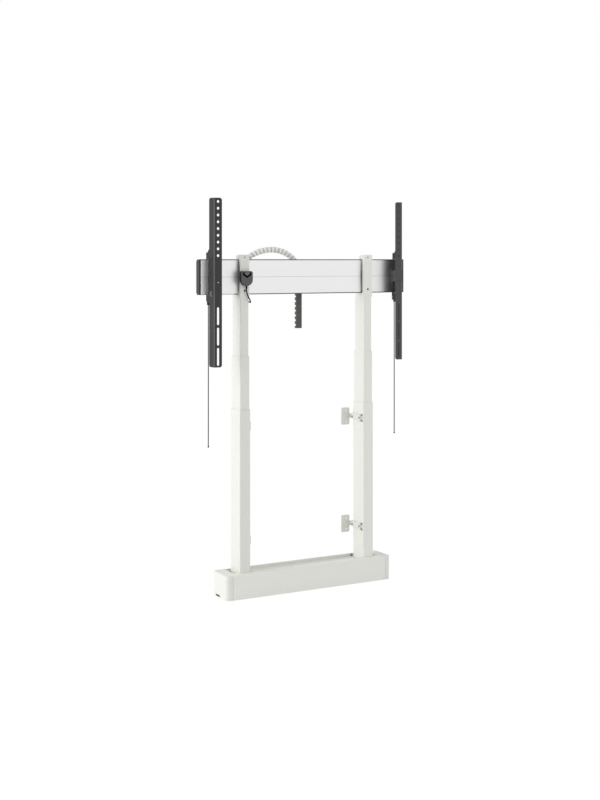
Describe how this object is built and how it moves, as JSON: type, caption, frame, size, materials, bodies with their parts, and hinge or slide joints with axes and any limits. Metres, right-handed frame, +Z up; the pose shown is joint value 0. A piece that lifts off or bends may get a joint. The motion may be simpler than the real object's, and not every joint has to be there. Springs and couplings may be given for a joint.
{
  "type": "tv lift mechanism",
  "caption": "Motorised floor-standing lift for a large screen: telescopic columns on a long base, extruded rail, hooked display strips with pull-cord locks, wired handset, ribbed cable hose.",
  "frame": {"origin": "on the floor, in the middle of the length and of the depth from the strips to the wall", "axes": "+X along the rail to the right seen from the front, +Y towards the wall, +Z up"},
  "size_m": [0.91, 0.127, 1.5],
  "materials": {
    "steel_white": "light grey powder coat, satin",
    "steel_head": "light grey powder coat, satin",
    "frame_steel": "light grey powder coat, satin",
    "cap_plastic": "light grey, fine grain",
    "rubber_black": "matt",
    "box_plastic": "matt black, fine grain",
    "cast_alu": "cast, matt",
    "motor_black": "satin black",
    "screw_steel": "oiled",
    "slide_plastic": "smooth",
    "nut_plastic": "smooth",
    "zinc": "zinc plated",
    "rail_alu": "anodised, brushed along its length",
    "black_plastic": "satin black",
    "bolt_black": "blackened",
    "hose_plastic": "satin black",
    "duct_plastic": "matt dark grey",
    "handset_plastic": "matt dark grey",
    "button_rubber": "matt",
    "cable_black": "satin",
    "strip_black": "fine textured powder coat, matt black",
    "pad_grey": "matt",
    "cord_grey": "braided"
  },
  "bodies": {
    "base": {"floor_pads": "rubber_black", "base_frame": "frame_steel", "front_cover": "steel_white", "cable_tray": "frame_steel", "end_cap_left": "cap_plastic", "end_cap_right": "cap_plastic", "control_box": "box_plastic", "lower_glides": "slide_plastic", "column_brackets": "steel_head", "bracket_screws": "zinc", "bracket_rods": "zinc", "wall_plates": "steel_head", "drive_housing_left": "cast_alu", "drive_housing_right": "cast_alu", "motor_left": "motor_black", "motor_right": "motor_black", "lower_tube_left": "steel_white", "lower_tube_right": "steel_white"},
    "carriage": {"rail": "rail_alu", "rail_caps": "black_plastic", "rail_saddles": "cast_alu", "head_clamps": "black_plastic", "head_screws": "bolt_black", "cable_hose": "hose_plastic", "hose_collars": "hose_plastic", "cable_duct": "duct_plastic", "duct_post": "duct_plastic", "handset_holder": "black_plastic", "handset_body": "handset_plastic", "handset_boot": "cable_black", "handset_cable": "cable_black", "cable_grommet": "cable_black", "upper_tube_left": "steel_white", "upper_tube_right": "steel_white", "upper_nut_left": "nut_plastic", "upper_nut_right": "nut_plastic", "head_bracket_left": "steel_head", "head_bracket_right": "steel_head"},
    "up_button": {"up_button": "button_rubber"},
    "down_button": {"down_button": "button_rubber"},
    "middle_left": {"middle_tube_left": "steel_white", "middle_glides_left": "slide_plastic", "transfer_block_left": "nut_plastic"},
    "lower_screw_left": {"lower_screw_left": "screw_steel"},
    "upper_screw_left": {"upper_screw_left": "screw_steel"},
    "strip_left": {"strip_left": "strip_black", "rail_pad_left": "pad_grey", "lock_fixings_left": "zinc"},
    "lock_left": {"lock_plate_left": "strip_black", "pull_cord_left": "cord_grey"},
    "middle_right": {"middle_tube_right": "steel_white", "middle_glides_right": "slide_plastic", "transfer_block_right": "nut_plastic"},
    "lower_screw_right": {"lower_screw_right": "screw_steel"},
    "upper_screw_right": {"upper_screw_right": "screw_steel"},
    "strip_right": {"strip_right": "strip_black", "rail_pad_right": "pad_grey", "lock_fixings_right": "zinc"},
    "lock_right": {"lock_plate_right": "strip_black", "pull_cord_right": "cord_grey"}
  },
  "joints": [
    {"name": "lift", "type": "slide", "parent": "base", "child": "carriage", "axis": [0, 0, 1], "range_m": [-0.38, 0.12]},
    {"name": "middle_slide_left", "type": "slide", "parent": "base", "child": "middle_left", "axis": [0, 0, 1], "range_m": [-0.19, 0.06]},
    {"name": "lower_screw_turn_left", "type": "hinge", "parent": "base", "child": "lower_screw_left", "pos_m": [-0.274, -0.0125, 0.2], "axis": [0, 0, 1], "range_deg": [-6841, 2161]},
    {"name": "upper_screw_turn_left", "type": "hinge", "parent": "middle_left", "child": "upper_screw_left", "pos_m": [-0.274, 0.0195, 0.4], "axis": [0, 0, 1], "range_deg": [-6841, 2161]},
    {"name": "strip_slide_left", "type": "slide", "parent": "carriage", "child": "strip_left", "axis": [1, 0, 0], "range_m": [-0.03, 0.085]},
    {"name": "lock_pull_left", "type": "slide", "parent": "strip_left", "child": "lock_left", "axis": [0, 0, 1], "range_m": [-0.01, 0], "stiffness_N_per_m": 150, "springref_m": 0.006},
    {"name": "middle_slide_right", "type": "slide", "parent": "base", "child": "middle_right", "axis": [0, 0, 1], "range_m": [-0.19, 0.06]},
    {"name": "lower_screw_turn_right", "type": "hinge", "parent": "base", "child": "lower_screw_right", "pos_m": [0.274, -0.0125, 0.2], "axis": [0, 0, 1], "range_deg": [-6841, 2161]},
    {"name": "upper_screw_turn_right", "type": "hinge", "parent": "middle_right", "child": "upper_screw_right", "pos_m": [0.274, 0.0195, 0.4], "axis": [0, 0, 1], "range_deg": [-6841, 2161]},
    {"name": "strip_slide_right", "type": "slide", "parent": "carriage", "child": "strip_right", "axis": [1, 0, 0], "range_m": [-0.085, 0.03]},
    {"name": "lock_pull_right", "type": "slide", "parent": "strip_right", "child": "lock_right", "axis": [0, 0, 1], "range_m": [-0.01, 0], "stiffness_N_per_m": 150, "springref_m": 0.006},
    {"name": "up_button_press", "type": "slide", "parent": "carriage", "child": "up_button", "axis": [0, 1, 0], "range_m": [0, 0.0012], "stiffness_N_per_m": 400, "springref_m": -0.0004},
    {"name": "down_button_press", "type": "slide", "parent": "carriage", "child": "down_button", "axis": [0, 1, 0], "range_m": [0, 0.0012], "stiffness_N_per_m": 400, "springref_m": -0.0004}
  ],
  "couplings": [
    {"joint": "middle_slide_left", "follows": "lift", "ratio": 0.5},
    {"joint": "lower_screw_turn_left", "follows": "lift", "rad_per_m": 314.16},
    {"joint": "upper_screw_turn_left", "follows": "lift", "rad_per_m": 314.16},
    {"joint": "middle_slide_right", "follows": "lift", "ratio": 0.5},
    {"joint": "lower_screw_turn_right", "follows": "lift", "rad_per_m": 314.16},
    {"joint": "upper_screw_turn_right", "follows": "lift", "rad_per_m": 314.16}
  ]
}
